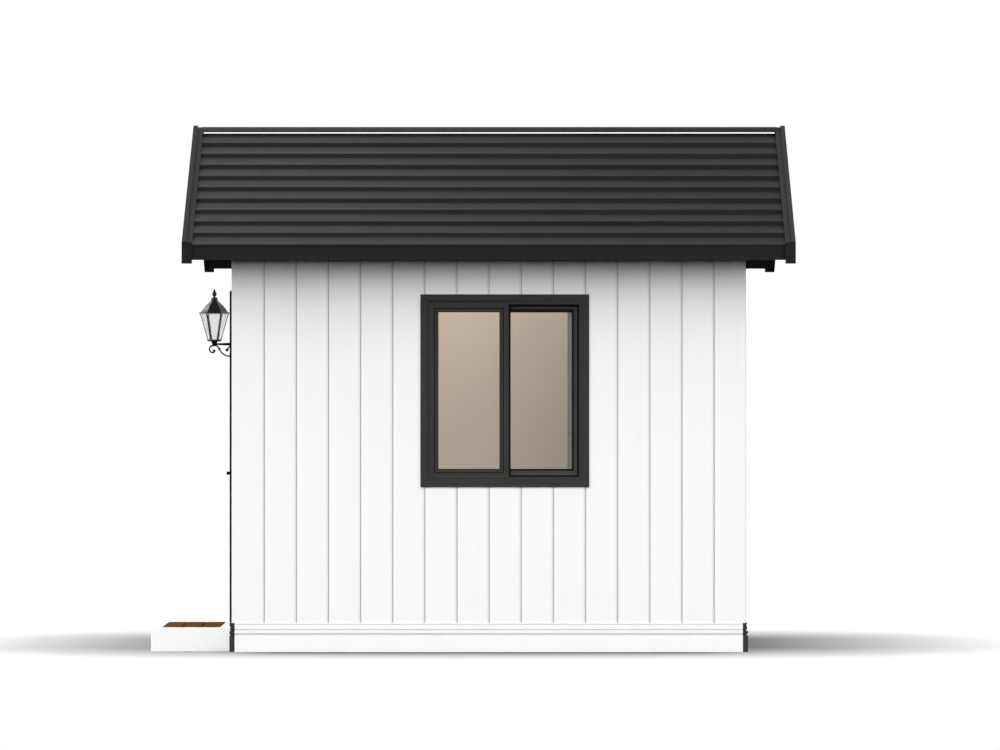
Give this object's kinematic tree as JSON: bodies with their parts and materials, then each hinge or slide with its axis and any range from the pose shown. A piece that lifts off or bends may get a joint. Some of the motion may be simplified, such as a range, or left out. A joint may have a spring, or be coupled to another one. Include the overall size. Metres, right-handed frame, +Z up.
{
  "type": "modular garden house",
  "caption": "Small square garden house with a stepped gable roof, clad walls, a sliding window, a hinged gable door, a box step and a wall lantern.",
  "frame": {"origin": "on the ground, under the middle of the floor, on the middle joist's lower face", "axes": "+Z up, +X along the ridge away from the door, -Y out through the window wall"},
  "size_m": [4.008, 3.79, 3.3277],
  "materials": {
    "timber": "sawn",
    "deck_board": "smooth board",
    "trim_white": "matt",
    "trim_dark": "matt",
    "cladding": "matt",
    "lining": "matt painted board",
    "roof_sheet": "satin",
    "roof_trim": "satin",
    "soffit": "matt",
    "joinery_dark": "satin",
    "door_dark": "satin",
    "window_glass": "clear",
    "steel": "brushed",
    "plank_wood": "oiled",
    "lantern_black": "satin",
    "lantern_glass": "frosted"
  },
  "bodies": {
    "house": {"floor_rails": "timber", "floor_joists": "timber", "floor_deck": "deck_board", "base_trim_long_sides": "trim_white", "base_trim_gable_sides": "trim_white", "base_trim_corners": "trim_dark", "window_wall_left": "cladding", "window_wall_right": "cladding", "window_wall_below": "cladding", "window_wall_above": "cladding", "far_wall": "cladding", "back_wall": "cladding", "front_wall_near_side": "cladding", "front_wall_far_side": "cladding", "front_wall_above_door": "cladding", "lining_window_wall": "lining", "lining_far_wall": "lining", "lining_back_wall": "lining", "lining_front_wall": "lining", "ceiling_near": "lining", "ceiling_far": "lining", "roof_panel_near": "roof_sheet", "roof_panel_far": "roof_sheet", "ridge_cap": "roof_trim", "barge_front_near": "roof_trim", "barge_front_far": "roof_trim", "barge_back_near": "roof_trim", "barge_back_far": "roof_trim", "fascias": "roof_trim", "soffits": "soffit", "window_frame": "joinery_dark", "window_sash_left": "joinery_dark", "window_sash_right": "joinery_dark", "window_glass": "window_glass", "door_frame": "joinery_dark", "door_hinge_pins": "steel", "entry_step": "trim_white", "step_planks": "plank_wood", "lantern_bracket": "lantern_black", "lantern_roof": "lantern_black", "lantern_cage": "lantern_black", "lantern_glass": "lantern_glass"},
    "door": {"door_leaf": "door_dark", "door_handle": "steel", "door_hinge_knuckles": "steel"}
  },
  "joints": [
    {"name": "door_hinge", "type": "hinge", "parent": "house", "child": "door", "pos_m": [-1.532, -1.326, 0], "axis": [0, 0, -1], "range_deg": [0, 90]}
  ]
}
